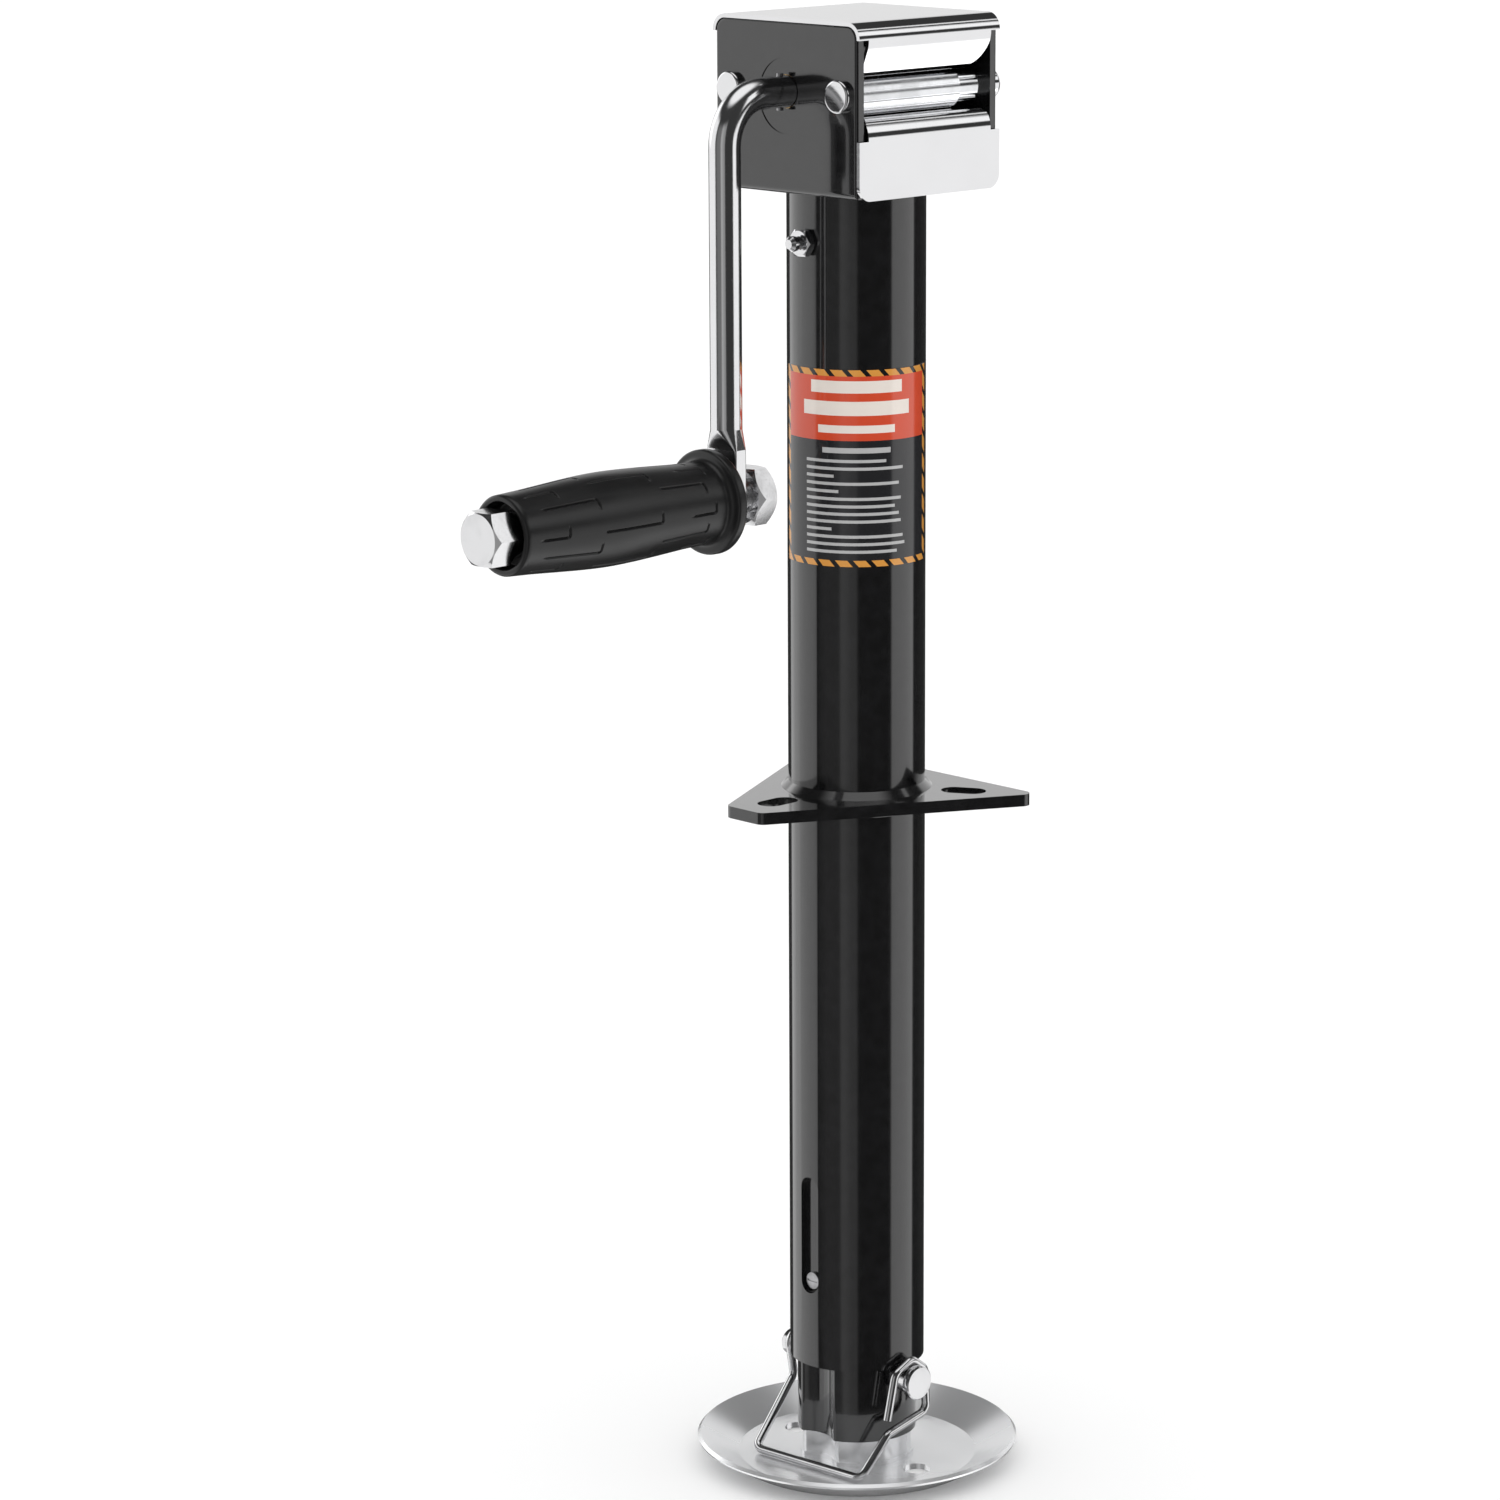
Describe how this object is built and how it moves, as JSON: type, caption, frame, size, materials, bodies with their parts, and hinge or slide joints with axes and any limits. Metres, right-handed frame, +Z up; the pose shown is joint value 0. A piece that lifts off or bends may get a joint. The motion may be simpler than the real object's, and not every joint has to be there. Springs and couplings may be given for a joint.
{
  "type": "tongue jack stand",
  "caption": "Side-wind trailer tongue jack: round tube with triangular mounting flange, square gear head with crank, sliding inner ram and round foot plate held by a lock pin.",
  "frame": {"origin": "centre of the foot plate's underside, on the axis of the outer tube", "axes": "+Z up along the tube; the window of the gear head faces -Y; the crank is on the -X side; rest is fully retracted with the crank hanging down"},
  "size_m": [0.275, 0.137, 0.6158],
  "materials": {
    "black_paint": "gloss",
    "chrome_plate": "polished",
    "zinc_plate": "bright zinc plate",
    "bright_steel": "machined",
    "bronze": "sintered bronze",
    "grip_rubber": "satin",
    "black_nylon": "matte",
    "decal_film": "printed film"
  },
  "bodies": {
    "frame": {"outer_tube": "black_paint", "guide_screw": "zinc_plate", "mounting_flange": "black_paint", "gear_housing": "black_paint", "top_cover": "chrome_plate", "front_lower_cover": "chrome_plate", "rear_lower_cover": "chrome_plate", "front_cross_rivet": "chrome_plate", "rear_cross_rivet": "chrome_plate", "front_spacer_sleeve": "zinc_plate", "rear_spacer_sleeve": "zinc_plate", "bearing_upper_race": "bright_steel", "bearing_cage": "black_nylon", "bearing_balls": "bright_steel", "screw_bushing": "bronze", "gear_thrust_washer": "bronze", "left_rod_bushing": "bronze", "right_rod_bushing": "bronze", "grease_fitting": "zinc_plate", "tube_decal": "decal_film"},
    "crank": {"crank_rod": "chrome_plate", "crank_retaining_pin": "zinc_plate", "bevel_pinion": "bright_steel", "pinion_pin": "bright_steel", "grip_bolt": "zinc_plate", "grip_nut": "zinc_plate", "grip_washer": "zinc_plate"},
    "screw": {"lead_screw": "bright_steel", "bevel_gear": "bright_steel", "gear_pin": "bright_steel", "bearing_lower_race": "bright_steel", "screw_end_washer": "bright_steel", "screw_end_pin": "bright_steel"},
    "ram": {"ram_tube": "black_paint", "lead_nut": "bronze", "nut_pins": "bright_steel", "foot_stub": "zinc_plate", "foot_dish": "zinc_plate"},
    "grip": {"hand_grip": "grip_rubber", "grip_sleeve": "black_nylon"},
    "lock_pin": {"lock_pin": "zinc_plate", "bail_wire": "zinc_plate"}
  },
  "joints": [
    {"name": "crank_turn", "type": "hinge", "parent": "frame", "child": "crank", "pos_m": [0, 0, 0.5866], "axis": [1, 0, 0], "range_deg": [0, 36000]},
    {"name": "screw_turn", "type": "hinge", "parent": "frame", "child": "screw", "pos_m": [0, 0, 0.56], "axis": [0, 0, 1], "range_deg": [-21601, 0]},
    {"name": "ram_slide", "type": "slide", "parent": "frame", "child": "ram", "axis": [0, 0, -1], "range_m": [0, 0.3811]},
    {"name": "grip_spin", "type": "hinge", "parent": "crank", "child": "grip", "pos_m": [-0.13, 0, 0.4255], "axis": [1, 0, 0], "continuous": true},
    {"name": "lock_pin_swing", "type": "hinge", "parent": "ram", "child": "lock_pin", "pos_m": [0, 0, 0.041], "axis": [0, 1, 0], "range_deg": [0, 92]}
  ],
  "couplings": [
    {"joint": "screw_turn", "follows": "crank_turn", "ratio": -0.6},
    {"joint": "ram_slide", "follows": "crank_turn", "m_per_rad": 0.00060638}
  ]
}
